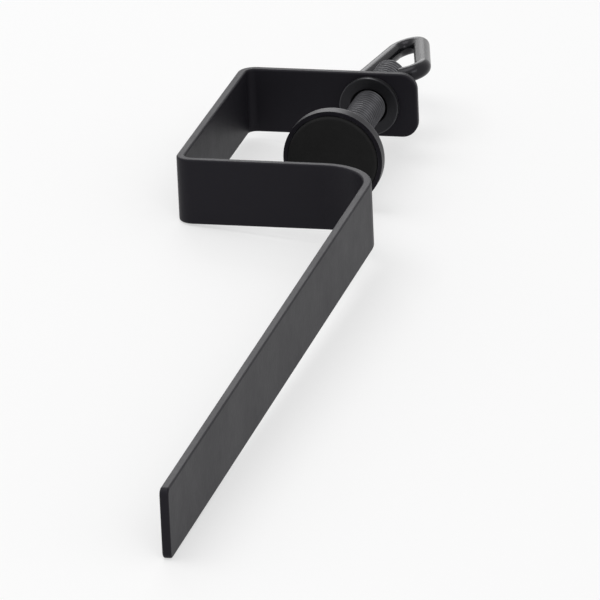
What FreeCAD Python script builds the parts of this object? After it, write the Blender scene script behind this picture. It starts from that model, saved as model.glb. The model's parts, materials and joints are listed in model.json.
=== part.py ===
import FreeCAD, Part
import math
import os
import Sketcher
from FreeCAD import Vector

# A clamp that holds a table tennis net: a bent steel strip with jaws and a net post, and a
# screw with a swivelling disc and a wire handle. It lies on its side, as on a table.
#
# The frame: the origin is on the table seat, the inner face of the top jaw, where the screw's
# axis meets it. +Y runs along the screw from the seat to the handle, +X points out of the
# mouth, and +Z is up, across the strip. In use, -Y is up. Everything is in millimetres.

DIMENSIONS = {
    # The strip, bent into two jaws, a back and a post.
    "strip_width": 12.0,
    "strip_thickness": 1.5,
    "bend_radius": 1.5,
    "post_bend_radius": 9.0,
    "edge_radius": 0.35,
    "back_reach": 24.0,
    "mouth_reach": 13.6,
    "lower_jaw_reach": 8.7,
    "throat": 47.7,
    "post_height": 152.5,
    "jaw_corner_radius": 3.0,
    "post_corner_radius": 1.2,
    # The threaded bush in the lower jaw.
    "barrel_radius": 4.0,
    "flange_radius": 5.4,
    "flange_thickness": 1.2,
    "swage_radius": 4.7,
    "swage_edge": 0.7,
    "swage_height": 2.2,
    "bush_chamfer": 0.4,
    # The screw.
    "rod_radius": 3.0,
    "rod_length": 43.5,
    "rod_chamfer": 0.8,
    "shoulder_chamfer": 0.4,
    "thread_clearance": 0.05,
    "spigot_radius": 2.0,
    "rivet_radius": 3.2,
    "rivet_height": 1.0,
    "rivet_bevel": 0.5,
    "cross_hole_from_end": 3.2,
    # The disc, its rubber facing and the washer that holds it.
    "disc_radius": 9.0,
    "cup_depth": 3.4,
    "cup_sheet": 0.8,
    "cup_corner_radius": 1.5,
    "pad_proud": 0.6,
    "pad_clearance": 0.1,
    "pad_edge_radius": 0.5,
    "pad_side": 0.9,
    "pad_web": 1.0,
    "washer_radius": 3.9,
    "washer_thickness": 0.6,
    "recess_clearance": 0.3,
    "swivel_clearance": 0.08,
    "swivel_play": 0.1,
    # The wire handle.
    "wire_radius": 1.5,
    "wire_clearance": 0.05,
    "handle_width": 12.6,
    "handle_length": 19.0,
    "handle_corner_radius": 2.4,
    "handle_apex_radius": 2.8,
    "wire_end_gap": 1.0,
    # How far the screw and its handle are turned at rest, in degrees about +Y.
    "handle_turn": -16.0,
    # How far the screw is open at rest, from the seat to the face of the pad.
    "rest_opening": 17.5,
}

# Sizes that follow from the driving ones, as expressions over the sheet.
BORE_RADIUS = "(dims.rod_radius + dims.thread_clearance)"
BORE_CHAMFER = f"min(dims.bush_chamfer; (dims.barrel_radius - {BORE_RADIUS}) / 2)"
SPIGOT_HOLE_RADIUS = "(dims.spigot_radius + dims.swivel_clearance)"
CUP_INNER_RADIUS = "(dims.disc_radius - dims.cup_sheet)"
CUP_BACK = "(dims.pad_proud + dims.cup_depth)"
CUP_FLOOR = "(dims.pad_proud + dims.cup_depth - dims.cup_sheet)"
SPIGOT_LENGTH = "(dims.swivel_play + dims.cup_sheet + dims.washer_thickness + dims.swivel_play)"
SHOULDER = "(dims.rest_opening + dims.pad_proud + dims.cup_depth + dims.swivel_play)"
CROSS_HOLE = "(dims.rod_length - dims.cross_hole_from_end)"

doc = FreeCAD.newDocument("net_clamp")
sheet = doc.addObject("Spreadsheet::Sheet", "dims")
for row, (alias, value) in enumerate(DIMENSIONS.items(), start=1):
    sheet.set(f"A{row}", alias)
    sheet.set(f"B{row}", str(value))
    sheet.setAlias(f"B{row}", alias)
doc.recompute()

subparts = []


def value_of(owner, expression):
    """The number that an expression over the sheet gives now."""
    result = owner.evalExpression(expression)
    return float(getattr(result, "Value", result))


def new_body(label, along_screw="0", turn="0"):
    """A sub-part with its origin on the screw's axis, away from the seat and turned about the axis."""
    body = doc.addObject("PartDesign::Body", label)
    body.Label = label
    body.Placement.Rotation = FreeCAD.Rotation(Vector(0, 1, 0), 0)
    body.setExpression("Placement.Base.y", along_screw)
    body.setExpression("Placement.Rotation.Angle", turn)
    subparts.append(body)
    return body


def new_sketch(body, name, role, offset="0"):
    """A sketch on one of the body's own origin planes, moved along the plane's normal."""
    sketch = body.newObject("Sketcher::SketchObject", name)
    plane = next(feature for feature in body.Origin.OriginFeatures if feature.Role == role)
    sketch.AttachmentSupport = (plane, [""])
    sketch.MapMode = "FlatFace"
    sketch.setExpression("AttachmentOffset.Base.z", offset)
    doc.recompute()
    return sketch


def bind(sketch, constraint, expression):
    """Add a dimension to a sketch and let an expression drive it."""
    index = sketch.addConstraint(constraint)
    sketch.setExpression(f"Constraints[{index}]", expression)


def pin_point(sketch, edge, end, across, up):
    """Fix one end of a sketch edge at two coordinates, each an expression."""
    horizontal_axis, vertical_axis = -1, -2
    for kind, expression, axis in (("DistanceX", across, vertical_axis), ("DistanceY", up, horizontal_axis)):
        if expression == "0":
            sketch.addConstraint(Sketcher.Constraint("PointOnObject", edge, end, axis))
        else:
            place = value_of(sketch, expression)
            bind(sketch, Sketcher.Constraint(kind, -1, 1, edge, end, place), expression)


def draw_polygon(sketch, corners):
    """A closed outline of straight lines through corners, each a pair of expressions."""
    points = [Vector(value_of(sketch, across), value_of(sketch, up), 0) for across, up in corners]
    edges = []
    for start, end in zip(points, points[1:] + points[:1]):
        edges.append(sketch.addGeometry(Part.LineSegment(start, end), False))
    for edge, following in zip(edges, edges[1:] + edges[:1]):
        sketch.addConstraint(Sketcher.Constraint("Coincident", edge, 2, following, 1))
    for edge, (across, up) in zip(edges, corners):
        pin_point(sketch, edge, 1, across, up)


def draw_circle(sketch, radius, across="0", up="0"):
    """A circle whose centre and radius are expressions."""
    centre = Vector(value_of(sketch, across), value_of(sketch, up), 0)
    size = value_of(sketch, radius)
    edge = sketch.addGeometry(Part.Circle(centre, Vector(0, 0, 1), size), False)
    pin_point(sketch, edge, 3, across, up)
    bind(sketch, Sketcher.Constraint("Radius", edge, size), radius)


def add_feature(body, kind, name, profile, **sizes):
    """A PartDesign feature on a sketch, with its sizes bound to expressions."""
    feature = body.newObject(f"PartDesign::{kind}", name)
    feature.Profile = profile
    for size, expression in sizes.items():
        feature.setExpression(size, expression)
    return feature


def turn_about_screw(body, name, corners):
    """A round piece: an outline of (radius, distance) corners turned about the screw's axis."""
    sketch = new_sketch(body, f"{name}_outline", "XY_Plane")
    draw_polygon(sketch, corners)
    turned = add_feature(body, "Revolution", name, sketch)
    turned.ReferenceAxis = (sketch, ["V_Axis"])
    turned.Angle = 360
    doc.recompute()
    return turned


def edges_where(feature, wanted):
    """The names of a feature's edges for which the test says yes."""
    return [f"Edge{number}" for number, edge in enumerate(feature.Shape.Edges, start=1) if wanted(edge)]


def round_edges(body, name, base, wanted, radius):
    """Round the chosen edges of the last feature."""
    fillet = body.newObject("PartDesign::Fillet", name)
    fillet.Base = (base, edges_where(base, wanted))
    fillet.setExpression("Radius", radius)
    doc.recompute()
    return fillet


def is_near(first, second, tolerance=1e-4):
    return abs(first - second) < tolerance


def runs_through(*places):
    """A test for the straight edges along Z that stand at one of the (x, y) places."""
    def test(edge):
        middle = edge.BoundBox.Center
        flat = is_near(edge.BoundBox.XLength, 0) and is_near(edge.BoundBox.YLength, 0)
        return flat and any(is_near(middle.x, x) and is_near(middle.y, y) for x, y in places)
    return test


def cut_must_shrink(feature, before):
    """Stop if a cut took nothing away, as one that points out of the solid does."""
    if feature.Shape.Volume > before - 1e-3:
        raise RuntimeError(f"{feature.Name} cut nothing")


def make_clamp_frame():
    """The strip: lower jaw, back, top jaw and post, with the hole for the bush."""
    body = new_body("clamp_frame")
    back_outer, back_inner = "-dims.back_reach", "dims.strip_thickness - dims.back_reach"
    post_inner, post_outer = "dims.mouth_reach - dims.strip_thickness", "dims.mouth_reach"
    top_jaw_outer, post_tip = "-dims.strip_thickness", "-dims.post_height"
    lower_jaw_inner, lower_jaw_outer = "dims.throat", "dims.throat + dims.strip_thickness"
    jaw_end = "dims.lower_jaw_reach"

    side = new_sketch(body, "strip_side", "XY_Plane")
    draw_polygon(side, [
        (jaw_end, lower_jaw_inner), (jaw_end, lower_jaw_outer), (back_outer, lower_jaw_outer),
        (back_outer, top_jaw_outer), (post_inner, top_jaw_outer), (post_inner, post_tip),
        (post_outer, post_tip), (post_outer, "0"), (back_inner, "0"), (back_inner, lower_jaw_inner),
    ])
    strip = add_feature(body, "Pad", "strip", side, Length="dims.strip_width")
    strip.SideType = "Symmetric"
    doc.recompute()

    def place(across, along):
        return value_of(strip, across), value_of(strip, along)

    back_inside = runs_through(place(back_inner, "0"), place(back_inner, lower_jaw_inner))
    back_outside = runs_through(place(back_outer, top_jaw_outer), place(back_outer, lower_jaw_outer))
    post_inside = runs_through(place(post_inner, top_jaw_outer))
    post_outside = runs_through(place(post_outer, "0"))
    bent = strip
    for name, bends, radius in (
            ("back_inside", back_inside, "dims.bend_radius"),
            ("back_outside", back_outside, "dims.bend_radius + dims.strip_thickness"),
            ("post_inside", post_inside, "dims.post_bend_radius"),
            ("post_outside", post_outside, "dims.post_bend_radius + dims.strip_thickness")):
        bent = round_edges(body, name, bent, bends, radius)

    end_x, tip_y = place(jaw_end, post_tip)
    jaw_corners = round_edges(
        body, "jaw_corners", bent,
        lambda edge: is_near(edge.BoundBox.XMin, end_x) and is_near(edge.BoundBox.ZLength, 0)
        and is_near(edge.BoundBox.XLength, 0),
        "dims.jaw_corner_radius")
    corners = round_edges(
        body, "post_corners", jaw_corners,
        lambda edge: is_near(edge.BoundBox.YMax, tip_y) and is_near(edge.BoundBox.ZLength, 0),
        "dims.post_corner_radius")

    half_width = value_of(strip, "dims.strip_width / 2")
    softened = round_edges(
        body, "soft_edges", corners,
        lambda edge: is_near(edge.BoundBox.ZLength, 0) and is_near(abs(edge.BoundBox.ZMax), half_width),
        "dims.edge_radius")

    bush_seat = new_sketch(body, "bush_seat", "XZ_Plane", offset="-dims.throat")
    draw_circle(bush_seat, "dims.barrel_radius")
    hole = add_feature(body, "Pocket", "bush_hole", bush_seat, Length="dims.strip_thickness")
    doc.recompute()
    cut_must_shrink(hole, softened.Shape.Volume)


def make_thread_bush():
    """The bush in the lower jaw: a flange inside, a swaged lip outside."""
    body = new_body("thread_bush", "dims.throat")
    inner, outer = "-dims.flange_thickness", "dims.strip_thickness + dims.swage_height"
    turn_about_screw(body, "bush", [
        (BORE_RADIUS, f"{inner} + {BORE_CHAMFER}"),
        (f"{BORE_RADIUS} + {BORE_CHAMFER}", inner),
        ("dims.flange_radius", inner),
        ("dims.flange_radius", "0"),
        ("dims.barrel_radius", "0"),
        ("dims.barrel_radius", "dims.strip_thickness"),
        ("dims.swage_radius", "dims.strip_thickness"),
        ("dims.swage_radius", "dims.strip_thickness + dims.swage_edge"),
        ("dims.barrel_radius", outer),
        (f"{BORE_RADIUS} + {BORE_CHAMFER}", outer),
        (BORE_RADIUS, f"{outer} - {BORE_CHAMFER}"),
    ])


def make_clamp_screw():
    """The screw: a rod with a shoulder, a riveted spigot and a cross hole for the handle."""
    body = new_body("clamp_screw", SHOULDER, "dims.handle_turn")
    rivet_under, rivet_top = f"-{SPIGOT_LENGTH}", f"-{SPIGOT_LENGTH} - dims.rivet_height"
    rod = turn_about_screw(body, "rod", [
        ("0", rivet_top),
        ("dims.rivet_radius - dims.rivet_bevel", rivet_top),
        ("dims.rivet_radius", f"{rivet_top} + dims.rivet_bevel"),
        ("dims.rivet_radius", rivet_under),
        ("dims.spigot_radius", rivet_under),
        ("dims.spigot_radius", "0"),
        ("dims.rod_radius - dims.shoulder_chamfer", "0"),
        ("dims.rod_radius", "dims.shoulder_chamfer"),
        ("dims.rod_radius", "dims.rod_length - dims.rod_chamfer"),
        ("dims.rod_radius - dims.rod_chamfer", "dims.rod_length"),
        ("0", "dims.rod_length"),
    ])
    cross = new_sketch(body, "cross_hole_plan", "YZ_Plane")
    draw_circle(cross, "dims.wire_radius + dims.wire_clearance", across=CROSS_HOLE)
    hole = add_feature(body, "Pocket", "cross_hole", cross)
    hole.Type = "ThroughAll"
    hole.SideType = "Symmetric"
    doc.recompute()
    cut_must_shrink(hole, rod.Shape.Volume)


def make_pressure_disc():
    """The pressed cup that swivels on the end of the screw."""
    body = new_body("pressure_disc", "dims.rest_opening")
    cup = turn_about_screw(body, "cup", [
        (SPIGOT_HOLE_RADIUS, CUP_FLOOR),
        (CUP_INNER_RADIUS, CUP_FLOOR),
        (CUP_INNER_RADIUS, "dims.pad_proud"),
        ("dims.disc_radius", "dims.pad_proud"),
        ("dims.disc_radius", CUP_BACK),
        (SPIGOT_HOLE_RADIUS, CUP_BACK),
    ])

    def circle_at(radius, along):
        wanted_radius, wanted_place = value_of(cup, radius), value_of(cup, along)
        return lambda edge: (isinstance(edge.Curve, Part.Circle) and is_near(edge.Curve.Radius, wanted_radius)
                             and is_near(edge.BoundBox.Center.y, wanted_place))

    outer = round_edges(body, "cup_corner", cup, circle_at("dims.disc_radius", CUP_BACK),
                        "dims.cup_corner_radius")
    round_edges(body, "cup_inside", outer, circle_at(CUP_INNER_RADIUS, CUP_FLOOR),
                "dims.cup_corner_radius - dims.cup_sheet")


def make_swivel_washer():
    """The washer between the cup and the riveted end of the screw."""
    body = new_body("swivel_washer", f"dims.rest_opening + {CUP_FLOOR}")
    turn_about_screw(body, "washer", [
        (SPIGOT_HOLE_RADIUS, "0"),
        ("dims.washer_radius", "0"),
        ("dims.washer_radius", "-dims.washer_thickness"),
        (SPIGOT_HOLE_RADIUS, "-dims.washer_thickness"),
    ])


def make_disc_pad():
    """The rubber facing, tapered to go into the cup and hollow where the riveted end turns."""
    body = new_body("disc_pad", "dims.rest_opening")
    pad_radius = f"({CUP_INNER_RADIUS} - dims.pad_clearance)"
    recess_radius = "(dims.washer_radius + dims.recess_clearance)"
    taper = "(dims.cup_corner_radius - dims.cup_sheet)"
    pad = turn_about_screw(body, "facing", [
        ("0", "0"),
        (pad_radius, "0"),
        (pad_radius, "dims.pad_side"),
        (f"{pad_radius} - {taper}", CUP_FLOOR),
        (recess_radius, CUP_FLOOR),
        (recess_radius, "dims.pad_web"),
        ("0", "dims.pad_web"),
    ])
    edge_radius = value_of(pad, pad_radius)
    round_edges(
        body, "facing_edge", pad,
        lambda edge: isinstance(edge.Curve, Part.Circle) and is_near(edge.Curve.Radius, edge_radius)
        and is_near(edge.BoundBox.Center.y, 0),
        "dims.pad_edge_radius")


def make_wire_handle():
    """The wire loop: its base lies in the cross hole, where its two ends meet."""
    body = new_body("wire_handle", f"{SHOULDER} + {CROSS_HOLE}", "dims.handle_turn")
    path = new_sketch(body, "wire_path", "XY_Plane")
    draw_handle_path(path)
    section = new_sketch(body, "wire_section", "YZ_Plane", offset="dims.wire_end_gap / 2")
    draw_circle(section, "dims.wire_radius")
    wire = body.newObject("PartDesign::AdditivePipe", "wire")
    wire.Profile = section
    wire.Spine = (path, [f"Edge{number}" for number in range(1, path.GeometryCount + 1)])
    doc.recompute()


def draw_handle_path(sketch):
    """The centre line: a base split at its middle, two corners, two legs and the apex."""
    gap = value_of(sketch, "dims.wire_end_gap") / 2
    corner_radius = value_of(sketch, "dims.handle_corner_radius")
    apex_radius = value_of(sketch, "dims.handle_apex_radius")
    corner_x = value_of(sketch, "dims.handle_width / 2 - dims.handle_corner_radius")
    apex_y = value_of(sketch, "dims.handle_length - dims.handle_apex_radius")
    between = Vector(-corner_x, apex_y - corner_radius, 0)
    lean = math.atan2(between.y, between.x) - math.asin((apex_radius - corner_radius) / between.Length)
    outward = Vector(math.cos(lean - math.pi / 2), math.sin(lean - math.pi / 2), 0)
    turn = math.atan2(outward.y, outward.x)
    corner, apex = Vector(corner_x, corner_radius, 0), Vector(0, apex_y, 0)
    mirrored = Vector(-corner_x, corner_radius, 0)
    outward_left = Vector(-outward.x, outward.y, 0)
    axis = Vector(0, 0, 1)

    def arc(centre, radius, first, last):
        return Part.ArcOfCircle(Part.Circle(centre, axis, radius), first, last)

    edges = [sketch.addGeometry(shape, False) for shape in (
        Part.LineSegment(Vector(gap, 0, 0), Vector(corner_x, 0, 0)),
        arc(corner, corner_radius, -math.pi / 2, turn),
        Part.LineSegment(corner + outward * corner_radius, apex + outward * apex_radius),
        arc(apex, apex_radius, turn, math.pi - turn),
        Part.LineSegment(apex + outward_left * apex_radius, mirrored + outward_left * corner_radius),
        arc(mirrored, corner_radius, math.pi - turn, 3 * math.pi / 2),
        Part.LineSegment(Vector(-corner_x, 0, 0), Vector(-gap, 0, 0)),
    )]
    base_right, corner_right, leg_right, top, leg_left, corner_left, base_left = edges
    for edge, following in zip(edges, edges[1:]):
        sketch.addConstraint(Sketcher.Constraint("Tangent", edge, 2, following, 1))
    pin_point(sketch, base_right, 1, "dims.wire_end_gap / 2", "0")
    pin_point(sketch, base_left, 2, "-dims.wire_end_gap / 2", "0")
    pin_point(sketch, top, 3, "0", "dims.handle_length - dims.handle_apex_radius")
    pin_point(sketch, corner_right, 3, "dims.handle_width / 2 - dims.handle_corner_radius",
              "dims.handle_corner_radius")
    pin_point(sketch, corner_left, 3, "dims.handle_corner_radius - dims.handle_width / 2",
              "dims.handle_corner_radius")
    bind(sketch, Sketcher.Constraint("Radius", top, apex_radius), "dims.handle_apex_radius")
    doc.recompute()


make_clamp_frame()
make_thread_bush()
make_clamp_screw()
make_pressure_disc()
make_swivel_washer()
make_disc_pad()
make_wire_handle()
doc.recompute()

for item in doc.Objects:
    if "Invalid" in item.State or "Error" in item.State:
        raise RuntimeError(f"{item.Label} did not compute")
for body in subparts:
    if body.Shape.isNull() or not body.Shape.isValid() or len(body.Shape.Solids) != 1:
        raise RuntimeError(f"{body.Label} is not one valid solid")

os.makedirs("parts", exist_ok=True)
for body in subparts:
    body.Shape.exportStep(f"parts/{body.Label}.step")
    box = body.Shape.BoundBox
    print(f"{body.Label}: {body.Shape.Volume:.1f} mm3, x {box.XMin:.2f}..{box.XMax:.2f}, "
          f"y {box.YMin:.2f}..{box.YMax:.2f}, z {box.ZMin:.2f}..{box.ZMax:.2f}")
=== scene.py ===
import json
import math

import bmesh
import bpy
from mathutils import Matrix, Vector


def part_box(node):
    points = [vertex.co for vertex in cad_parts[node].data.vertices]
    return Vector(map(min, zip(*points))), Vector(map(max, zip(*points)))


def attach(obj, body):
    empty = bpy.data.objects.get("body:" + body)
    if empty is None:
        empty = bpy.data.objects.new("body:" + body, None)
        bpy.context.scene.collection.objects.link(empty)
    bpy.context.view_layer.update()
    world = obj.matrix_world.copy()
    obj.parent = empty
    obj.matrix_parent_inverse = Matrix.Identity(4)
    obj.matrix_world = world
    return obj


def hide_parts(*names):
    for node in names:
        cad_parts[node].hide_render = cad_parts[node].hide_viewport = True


# A table tennis net clamp that lies on its side: a black bent strip with jaws and a net post, a
# threaded screw with a swivelling disc, and a wire handle. Lengths are in metres.

MM = 0.001
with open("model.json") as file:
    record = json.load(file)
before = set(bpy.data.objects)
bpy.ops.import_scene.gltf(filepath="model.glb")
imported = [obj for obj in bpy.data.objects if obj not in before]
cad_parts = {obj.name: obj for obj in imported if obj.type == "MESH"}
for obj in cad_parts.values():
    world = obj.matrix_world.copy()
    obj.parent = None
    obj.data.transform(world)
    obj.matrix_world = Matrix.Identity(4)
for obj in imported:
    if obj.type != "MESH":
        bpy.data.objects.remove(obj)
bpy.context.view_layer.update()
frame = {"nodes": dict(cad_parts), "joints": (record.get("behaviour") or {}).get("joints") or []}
nodes = frame["nodes"]


# ---- Shader node groups: patterns that several finishes share ----

def new_group(name, inputs, outputs):
    """An empty shader group with (name, default) inputs and (name, socket type) outputs."""
    group = bpy.data.node_groups.new(name, "ShaderNodeTree")
    for socket_name, default in inputs:
        socket = group.interface.new_socket(socket_name, in_out="INPUT", socket_type="NodeSocketFloat")
        socket.default_value = default
    for socket_name, kind in outputs:
        group.interface.new_socket(socket_name, in_out="OUTPUT", socket_type=kind)
    return group, group.nodes.new("NodeGroupInput"), group.nodes.new("NodeGroupOutput")


def add_node(tree, kind, values=None, **settings):
    """A node with its settings and the default values of its sockets."""
    node = tree.nodes.new(kind)
    for name, value in settings.items():
        setattr(node, name, value)
    for socket, value in (values or {}).items():
        node.inputs[socket].default_value = value
    return node


def link(tree, source, output, target, socket):
    tree.links.new(source.outputs[output], target.inputs[socket])


def noise_on_piece(tree, scale=1.0, detail=3.0, roughness=0.5):
    """Noise over the piece's own coordinates, which are in metres."""
    place = add_node(tree, "ShaderNodeTexCoord")
    noise = add_node(tree, "ShaderNodeTexNoise", {"Scale": scale, "Detail": detail, "Roughness": roughness})
    link(tree, place, "Object", noise, "Vector")
    return noise


def remap(tree, source, output, before, after=(0.0, 1.0)):
    """A value moved from the span before to the span after, and held at its ends."""
    node = add_node(tree, "ShaderNodeMapRange", {
        "From Min": before[0], "From Max": before[1], "To Min": after[0], "To Max": after[1]})
    link(tree, source, output, node, "Value")
    return node


def combine(tree, operation, first, second, use_clamp=False):
    """Two values, each a (node, output), put through one Math operation."""
    node = add_node(tree, "ShaderNodeMath", operation=operation, use_clamp=use_clamp)
    link(tree, *first, node, 0)
    link(tree, *second, node, 1)
    return node


def make_orange_peel():
    """The faint waviness of sprayed enamel, with a few settled specks of dust."""
    group, given, result = new_group(
        "orange_peel", [("Peel Scale", 900.0), ("Speck Scale", 1500.0), ("Speck Amount", 0.5)],
        [("Height", "NodeSocketFloat"), ("Specks", "NodeSocketFloat")])
    peel = noise_on_piece(group, detail=2.0)
    link(group, given, "Peel Scale", peel, "Scale")
    place = add_node(group, "ShaderNodeTexCoord")
    cells = add_node(group, "ShaderNodeTexVoronoi", {"Randomness": 1.0})
    link(group, place, "Object", cells, "Vector")
    link(group, given, "Speck Scale", cells, "Scale")
    dots = remap(group, cells, "Distance", (0.16, 0.05))
    chosen = noise_on_piece(group, 320.0, detail=1.0)
    few = remap(group, chosen, "Fac", (0.60, 0.66))
    both = combine(group, "MULTIPLY", (dots, "Result"), (few, "Result"))
    scaled = combine(group, "MULTIPLY", (both, "Value"), (given, "Speck Amount"))
    total = combine(group, "ADD", (peel, "Fac"), (scaled, "Value"))
    link(group, total, "Value", result, "Height")
    link(group, scaled, "Value", result, "Specks")
    return group


def make_rubbed_edges():
    """A mask that is 1 on rubbed edges and corners, broken up by noise."""
    group, given, result = new_group(
        "rubbed_edges", [("Reach", 0.0006), ("Break-up Scale", 420.0), ("Amount", 1.0)],
        [("Mask", "NodeSocketFloat")])
    rounded = add_node(group, "ShaderNodeBevel", samples=8)
    link(group, given, "Reach", rounded, "Radius")
    flat = add_node(group, "ShaderNodeNewGeometry")
    agree = add_node(group, "ShaderNodeVectorMath", operation="DOT_PRODUCT")
    link(group, rounded, "Normal", agree, 0)
    link(group, flat, "Normal", agree, 1)
    edge = remap(group, agree, "Value", (0.995, 0.90))
    broken = noise_on_piece(group, detail=5.0, roughness=0.65)
    link(group, given, "Break-up Scale", broken, "Scale")
    patches = remap(group, broken, "Fac", (0.46, 0.62))
    masked = combine(group, "MULTIPLY", (edge, "Result"), (patches, "Result"))
    amount = combine(group, "MULTIPLY", (masked, "Value"), (given, "Amount"), use_clamp=True)
    link(group, amount, "Value", result, "Mask")
    return group


def make_handling_film():
    """Uneven gloss left by hands and storage: a value that wanders about 0."""
    group, given, result = new_group(
        "handling_film", [("Cloud Scale", 60.0), ("Smear Scale", 260.0), ("Strength", 0.05)],
        [("Offset", "NodeSocketFloat")])
    clouds = noise_on_piece(group, detail=4.0, roughness=0.6)
    link(group, given, "Cloud Scale", clouds, "Scale")
    smears = noise_on_piece(group, detail=6.0, roughness=0.7)
    link(group, given, "Smear Scale", smears, "Scale")
    total = combine(group, "ADD", (clouds, "Fac"), (smears, "Fac"))
    centred = add_node(group, "ShaderNodeMath", {1: 1.0}, operation="SUBTRACT")
    link(group, total, "Value", centred, 0)
    scaled = combine(group, "MULTIPLY", (centred, "Value"), (given, "Strength"))
    link(group, scaled, "Value", result, "Offset")
    return group


orange_peel = make_orange_peel()
rubbed_edges = make_rubbed_edges()
handling_film = make_handling_film()


# ---- Finishes ----

THREAD_RADIUS = 3.0 * MM
BUSH_FLANGE_RADIUS = 5.4 * MM
COOL_TINT = (0.95, 0.93, 1.0, 1.0)
ENAMEL_BLACK, ENAMEL_THIN = (0.0115, 0.0108, 0.0138), (0.05, 0.05, 0.055)
WIRE_BLACK, WIRE_THIN = (0.0055, 0.0055, 0.0065), (0.04, 0.04, 0.043)
ZINC_BLACK, ZINC_RUBBED = (0.028, 0.028, 0.031), (0.17, 0.17, 0.18)
RUBBER_BLACK, RUBBER_BLOOM = (0.004, 0.004, 0.004), (0.010, 0.010, 0.010)


def new_finish(name, **sockets):
    """A material with one Principled shader, and the sockets that are the same all over it."""
    material = bpy.data.materials.new(name)
    material.use_nodes = True
    tree = material.node_tree
    shader = next(node for node in tree.nodes if node.type == "BSDF_PRINCIPLED")
    for socket, value in sockets.items():
        shader.inputs[socket.replace("_", " ")].default_value = value
    return material, tree, shader


def use_group(tree, group, **values):
    """A shader group placed in a material with its own values."""
    node = add_node(tree, "ShaderNodeGroup", node_tree=group)
    for socket, value in values.items():
        node.inputs[socket.replace("_", " ")].default_value = value
    return node


def wandering_roughness(tree, shader, base, strength, cloud_scale=60.0):
    """Roughness about a base value, with the handling film on it."""
    film = use_group(tree, handling_film, Strength=strength, Cloud_Scale=cloud_scale)
    rough = add_node(tree, "ShaderNodeMath", {1: base}, operation="ADD", use_clamp=True)
    link(tree, film, "Offset", rough, 0)
    link(tree, rough, "Value", shader, "Roughness")


def two_colours(tree, mask, output, shader, first, second):
    """Base colour that goes from the first to the second by a mask."""
    mix = add_node(tree, "ShaderNodeMix", data_type="RGBA")
    mix.inputs["A"].default_value = (*first, 1.0)
    mix.inputs["B"].default_value = (*second, 1.0)
    link(tree, mask, output, mix, "Factor")
    colour = next(socket for socket in mix.outputs if socket.type == "RGBA")
    tree.links.new(colour, shader.inputs["Base Color"])


def raise_surface(tree, shader, source, output, strength, distance):
    """Fine relief from a height, at most a distance deep."""
    bump = add_node(tree, "ShaderNodeBump", {"Strength": strength, "Distance": distance})
    link(tree, source, output, bump, "Height")
    link(tree, bump, "Normal", shader, "Normal")


def make_stove_enamel(name, roughness, reach):
    """Black stove enamel on steel, a little thin within a reach of its edges."""
    material, tree, shader = new_finish(
        name, IOR=1.5, Specular_IOR_Level=0.12, Specular_Tint=COOL_TINT)
    edges = use_group(tree, rubbed_edges, Reach=reach, Amount=0.35)
    two_colours(tree, edges, "Mask", shader, ENAMEL_BLACK, ENAMEL_THIN)
    wandering_roughness(tree, shader, roughness, 0.10)
    peel = use_group(tree, orange_peel, Peel_Scale=1100.0, Speck_Amount=0.6)
    raise_surface(tree, shader, peel, "Height", 0.35, 0.05 * MM)
    return material


def make_black_zinc(name, crest_radius):
    """Black zinc plate on turned steel: grey metal shows where its outermost stretches rub."""
    material, tree, shader = new_finish(name, Metallic=0.85)
    place = add_node(tree, "ShaderNodeTexCoord")
    across = add_node(tree, "ShaderNodeVectorMath", {1: (1.0, 0.0, 1.0)}, operation="MULTIPLY")
    link(tree, place, "Object", across, 0)
    radius = add_node(tree, "ShaderNodeVectorMath", operation="LENGTH")
    link(tree, across, "Vector", radius, 0)
    crest = remap(tree, radius, "Value", (crest_radius - 0.25 * MM, crest_radius), (0.0, 0.8))
    broken = noise_on_piece(tree, 500.0, detail=5.0, roughness=0.6)
    worn = combine(tree, "MULTIPLY", (crest, "Result"), (broken, "Fac"))
    two_colours(tree, worn, "Value", shader, ZINC_BLACK, ZINC_RUBBED)
    wandering_roughness(tree, shader, 0.38, 0.16, cloud_scale=140.0)
    grain = noise_on_piece(tree, 4000.0, detail=2.0)
    raise_surface(tree, shader, grain, "Fac", 0.2, 0.02 * MM)
    return material


def make_wire_paint():
    """Black paint on drawn wire, a little thin where the wire bends."""
    material, tree, shader = new_finish(
        "wire_paint", IOR=1.5, Specular_IOR_Level=0.26, Specular_Tint=COOL_TINT)
    edges = use_group(tree, rubbed_edges, Reach=0.8 * MM, Amount=0.3)
    two_colours(tree, edges, "Mask", shader, WIRE_BLACK, WIRE_THIN)
    wandering_roughness(tree, shader, 0.24, 0.12, cloud_scale=180.0)
    peel = use_group(tree, orange_peel, Peel_Scale=1600.0, Speck_Amount=0.4)
    raise_surface(tree, shader, peel, "Height", 0.25, 0.04 * MM)
    return material


def make_pad_rubber():
    """Matt moulded rubber with a fine grain and a little bloom."""
    material, tree, shader = new_finish("pad_rubber", IOR=1.5, Specular_IOR_Level=0.2)
    bloom = noise_on_piece(tree, 300.0, detail=5.0, roughness=0.6)
    two_colours(tree, bloom, "Fac", shader, RUBBER_BLACK, RUBBER_BLOOM)
    wandering_roughness(tree, shader, 0.72, 0.12, cloud_scale=200.0)
    grain = noise_on_piece(tree, 3200.0, detail=3.0, roughness=0.7)
    raise_surface(tree, shader, grain, "Fac", 0.5, 0.06 * MM)
    return material


def paint(piece, material):
    """Give a piece one material."""
    piece.data.materials.clear()
    piece.data.materials.append(material)


# ---- The screw, with its thread cut ----

def add_piece(name, mesh):
    """An object in the scene from a finished bmesh."""
    data = bpy.data.meshes.new(name)
    mesh.to_mesh(data)
    mesh.free()
    piece = bpy.data.objects.new(name, data)
    bpy.context.scene.collection.objects.link(piece)
    return piece


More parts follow.
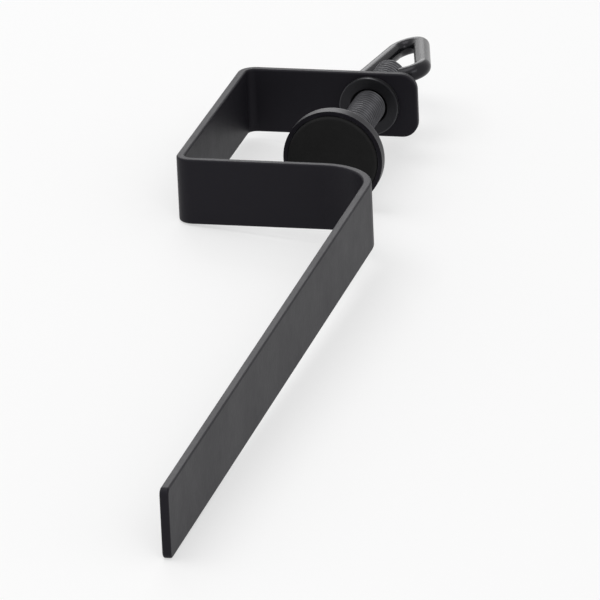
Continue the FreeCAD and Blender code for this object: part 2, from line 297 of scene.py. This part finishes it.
def turned_piece(name, outline):
    """A closed round piece: an outline of (radius, distance) turned about the Y axis."""
    mesh = bmesh.new()
    verts = [mesh.verts.new((radius, along, 0.0)) for radius, along in outline]
    edges = [mesh.edges.new(pair) for pair in zip(verts, verts[1:])]
    bmesh.ops.spin(mesh, geom=verts + edges, cent=(0, 0, 0), axis=(0, 1, 0), angle=math.tau,
                   dvec=(0, 0, 0), steps=64, use_merge=True)
    bmesh.ops.remove_doubles(mesh, verts=mesh.verts[:], dist=0.001 * MM)
    bmesh.ops.recalc_face_normals(mesh, faces=mesh.faces[:])
    return add_piece(name, mesh)


def settle(piece, tools):
    """Apply the piece's modifiers and take its cutting tools away."""
    bpy.context.view_layer.update()
    settled = bpy.data.meshes.new_from_object(piece.evaluated_get(bpy.context.evaluated_depsgraph_get()))
    piece.modifiers.clear()
    piece.data = settled
    for tool in tools:
        bpy.data.objects.remove(tool)


def shade_by_angle(piece, degrees):
    """Smooth shading, with edges sharper than an angle kept sharp."""
    mesh = bmesh.new()
    mesh.from_mesh(piece.data)
    for face in mesh.faces:
        face.smooth = True
    for edge in mesh.edges:
        edge.smooth = len(edge.link_faces) == 2 and edge.calc_face_angle(0.0) < math.radians(degrees)
    mesh.to_mesh(piece.data)
    mesh.free()


def cut_across(mesh, along, **sides):
    """Cut a mesh at a distance along Y, and clear the side that is named."""
    bmesh.ops.bisect_plane(mesh, geom=mesh.verts[:] + mesh.edges[:] + mesh.faces[:],
                           plane_co=(0, along, 0), plane_no=(0, 1, 0), **sides)


def make_threaded_rod(shoulder, end):
    """A rod with a rolled thread of 1 mm pitch, chamfered at its shoulder and its end."""
    pitch, depth = 1.0 * MM, 0.5413 * MM
    root_radius = THREAD_RADIUS - depth
    crest_end, root_start, root_end = 0.125, 0.4375, 0.6875  # shares of the pitch
    steps, spare_turns = 48, 2

    mesh = bmesh.new()
    profile = []
    y = shoulder - spare_turns * pitch
    for _ in range(int((end - shoulder) / pitch) + 2 * spare_turns):
        for radius, along in ((THREAD_RADIUS, 0.0), (THREAD_RADIUS, crest_end),
                              (root_radius, root_start), (root_radius, root_end)):
            profile.append(mesh.verts.new((radius, y + along * pitch, 0.0)))
        y += pitch
    edges = [mesh.edges.new(pair) for pair in zip(profile, profile[1:])]
    bmesh.ops.spin(mesh, geom=profile + edges, cent=(0, 0, 0), axis=(0, 1, 0), angle=-math.tau,
                   dvec=(0, pitch / steps, 0), steps=steps, use_merge=False)
    bmesh.ops.remove_doubles(mesh, verts=mesh.verts[:], dist=0.005 * MM)

    shoulder_chamfer, end_chamfer = 0.4 * MM, 0.8 * MM
    cut_across(mesh, shoulder + shoulder_chamfer)
    cut_across(mesh, end - end_chamfer)
    cut_across(mesh, shoulder, clear_inner=True)
    cut_across(mesh, end, clear_outer=True)
    for vert in mesh.verts:
        limit = THREAD_RADIUS + min(0.0, vert.co.y - shoulder - shoulder_chamfer,
                                    end - end_chamfer - vert.co.y)
        radius = math.hypot(vert.co.x, vert.co.z)
        if radius > limit:
            vert.co.x *= limit / radius
            vert.co.z *= limit / radius
    bmesh.ops.holes_fill(mesh, edges=[edge for edge in mesh.edges if edge.is_boundary], sides=0)
    bmesh.ops.recalc_face_normals(mesh, faces=mesh.faces[:])
    return add_piece("threaded_screw", mesh)


def make_threaded_screw():
    """The threaded rod with its riveted spigot and the drilled cross hole of the wire handle."""
    low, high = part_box("clamp_screw")
    swing = next(joint for joint in frame["joints"] if joint["name"] == "handle_swing")
    play = 0.1 * MM
    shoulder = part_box("pressure_disc")[1].y + play
    screw = make_threaded_rod(shoulder, high.y)

    spigot_radius, rivet_radius, hole_radius = 2.0 * MM, 3.2 * MM, 1.55 * MM
    rivet_under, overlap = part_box("swivel_washer")[0].y - play, 0.3 * MM
    rivet = turned_piece("rivet_cutter", [
        (0.0, low.y), (2.5 * MM, low.y), (3.05 * MM, low.y + 0.2 * MM), (rivet_radius, low.y + 0.5 * MM),
        (rivet_radius, rivet_under), (spigot_radius, rivet_under),
        (spigot_radius, shoulder + overlap), (0.0, shoulder + overlap)])
    reach = 2 * THREAD_RADIUS
    drill = turned_piece("drill_cutter", [
        (0.0, -reach), (hole_radius, -reach), (hole_radius, reach), (0.0, reach)])
    along_hole = Vector(swing["axis"]).to_track_quat("Y", "Z").to_matrix().to_4x4()
    drill.data.transform(Matrix.Translation(swing["pos_m"]) @ along_hole)
    for tool, operation in ((rivet, "UNION"), (drill, "DIFFERENCE")):
        cut = screw.modifiers.new(tool.name, "BOOLEAN")
        cut.operation, cut.object, cut.solver = operation, tool, "EXACT"
    settle(screw, [rivet, drill])
    shade_by_angle(screw, 30)
    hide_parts("clamp_screw")
    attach(screw, "screw")
    return screw


screw = make_threaded_screw()

screw_zinc = make_black_zinc("screw_zinc", THREAD_RADIUS)
bush_zinc = make_black_zinc("bush_zinc", BUSH_FLANGE_RADIUS)
paint(nodes["clamp_frame"], make_stove_enamel("strip_enamel", roughness=0.46, reach=0.6 * MM))
paint(nodes["pressure_disc"], make_stove_enamel("cup_enamel", roughness=0.36, reach=0.5 * MM))
paint(nodes["thread_bush"], bush_zinc)
paint(nodes["swivel_washer"], bush_zinc)
paint(nodes["clamp_screw"], screw_zinc)
paint(screw, screw_zinc)
paint(nodes["wire_handle"], make_wire_paint())
paint(nodes["disc_pad"], make_pad_rubber())


# ---- The floor that the clamp lies on, and the light ----

def resting_plane():
    """The plane that the disc's rim, the post's tip and the corner of the back rest on."""
    low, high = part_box("clamp_frame")
    disc_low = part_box("pressure_disc")[0]
    rim = Vector((0.0, disc_low.y, disc_low.z))
    tip = Vector((high.x, low.y, low.z))
    corner = Vector((low.x, 0.0, low.z))
    up = (tip - rim).cross(corner - rim).normalized()
    up = up if up.z > 0 else -up
    touch = min(up.dot(vert.co) for name in ("clamp_frame", "pressure_disc")
                for vert in nodes[name].data.vertices)
    return up, up * touch


def seen_rays(tree):
    """A mask that is 1 for the rays of the camera, of gloss and of glass."""
    path = add_node(tree, "ShaderNodeLightPath")
    either = combine(tree, "MAXIMUM", (path, "Is Camera Ray"), (path, "Is Glossy Ray"))
    return combine(tree, "MAXIMUM", (either, "Value"), (path, "Is Transmission Ray"))


def make_floor_paper(lit=0.9, seen_lit=0.42, seen_glow=0.54):
    """White paper that, where it is seen, glows a little, so that its shadows are faint."""
    material, tree, shader = new_finish("floor_paper", Roughness=0.9, Specular_IOR_Level=0.1,
                                        Emission_Color=(1.0, 1.0, 1.0, 1.0))
    seen = seen_rays(tree)
    two_colours(tree, seen, "Value", shader, (lit, lit, lit), (seen_lit, seen_lit, seen_lit))
    glow = add_node(tree, "ShaderNodeMath", {1: seen_glow}, operation="MULTIPLY")
    link(tree, seen, "Value", glow, 0)
    link(tree, glow, "Value", shader, "Emission Strength")
    return material


def lay_floor():
    """A wide sheet of paper under the places that the clamp rests on."""
    up, place = resting_plane()
    mesh = bmesh.new()
    bmesh.ops.create_grid(mesh, x_segments=1, y_segments=1, size=6.0)
    floor = add_piece("floor", mesh)
    floor.rotation_mode = "QUATERNION"
    floor.rotation_quaternion = up.to_track_quat("Z", "Y")
    floor.location = place
    paint(floor, make_floor_paper())


def light_world(seen, given):
    """White where a camera, gloss or glass looks, and an even dome of light for the rest."""
    world = bpy.data.worlds.new("studio")
    bpy.context.scene.world = world
    world.use_nodes = True
    tree = world.node_tree
    background = next(node for node in tree.nodes if node.type == "BACKGROUND")
    background.inputs["Color"].default_value = (1.0, 1.0, 1.0, 1.0)
    strength = remap(tree, seen_rays(tree), "Value", (0.0, 1.0), (given, seen))
    link(tree, strength, "Result", background, "Strength")


def hang_lamp(name, direction, distance, size, watts):
    """A square soft lamp that faces the frame's origin."""
    data = bpy.data.lights.new(name, "AREA")
    data.shape, data.size, data.energy = "SQUARE", size, watts
    lamp = bpy.data.objects.new(name, data)
    towards = Vector(direction).normalized()
    lamp.location = towards * distance
    lamp.rotation_mode = "QUATERNION"
    lamp.rotation_quaternion = towards.to_track_quat("Z", "Y")
    bpy.context.scene.collection.objects.link(lamp)


def set_camera(azimuth, elevation, roll, distance, lens, aim):
    """A camera that looks through the aim, with its distance counted from the frame's origin."""
    turn, rise = math.radians(azimuth), math.radians(elevation)
    back = Vector((math.sin(turn) * math.cos(rise), -math.cos(turn) * math.cos(rise), math.sin(rise)))
    aim = Vector(aim)
    data = bpy.data.cameras.new("camera")
    data.lens, data.sensor_width = lens, 36.0
    data.clip_start, data.clip_end = 0.01, 20.0
    camera = bpy.data.objects.new("camera", data)
    camera.rotation_mode = "QUATERNION"
    camera.location = aim - back * aim.dot(back) + back * distance
    rolled = Matrix.Rotation(math.radians(-roll), 4, "Z").to_quaternion()
    camera.rotation_quaternion = back.to_track_quat("Z", "Y") @ rolled
    bpy.context.scene.collection.objects.link(camera)
    bpy.context.scene.camera = camera


lay_floor()
light_world(seen=1.0, given=0.55)
hang_lamp("high_lamp", direction=(-0.35, -0.1, 1.0), distance=1.6, size=1.1, watts=8.0)
hang_lamp("back_lamp", direction=(-0.30, 1.0, 0.55), distance=1.8, size=0.9, watts=7.0)
hang_lamp("front_lamp", direction=(0.6, -1.0, 0.9), distance=1.8, size=0.8, watts=5.0)
set_camera(azimuth=14.3, elevation=20.5, roll=2.55, distance=1.4, lens=480.0,
           aim=(0.010, -0.049, -0.001))

bpy.context.scene.view_settings.view_transform = "Standard"
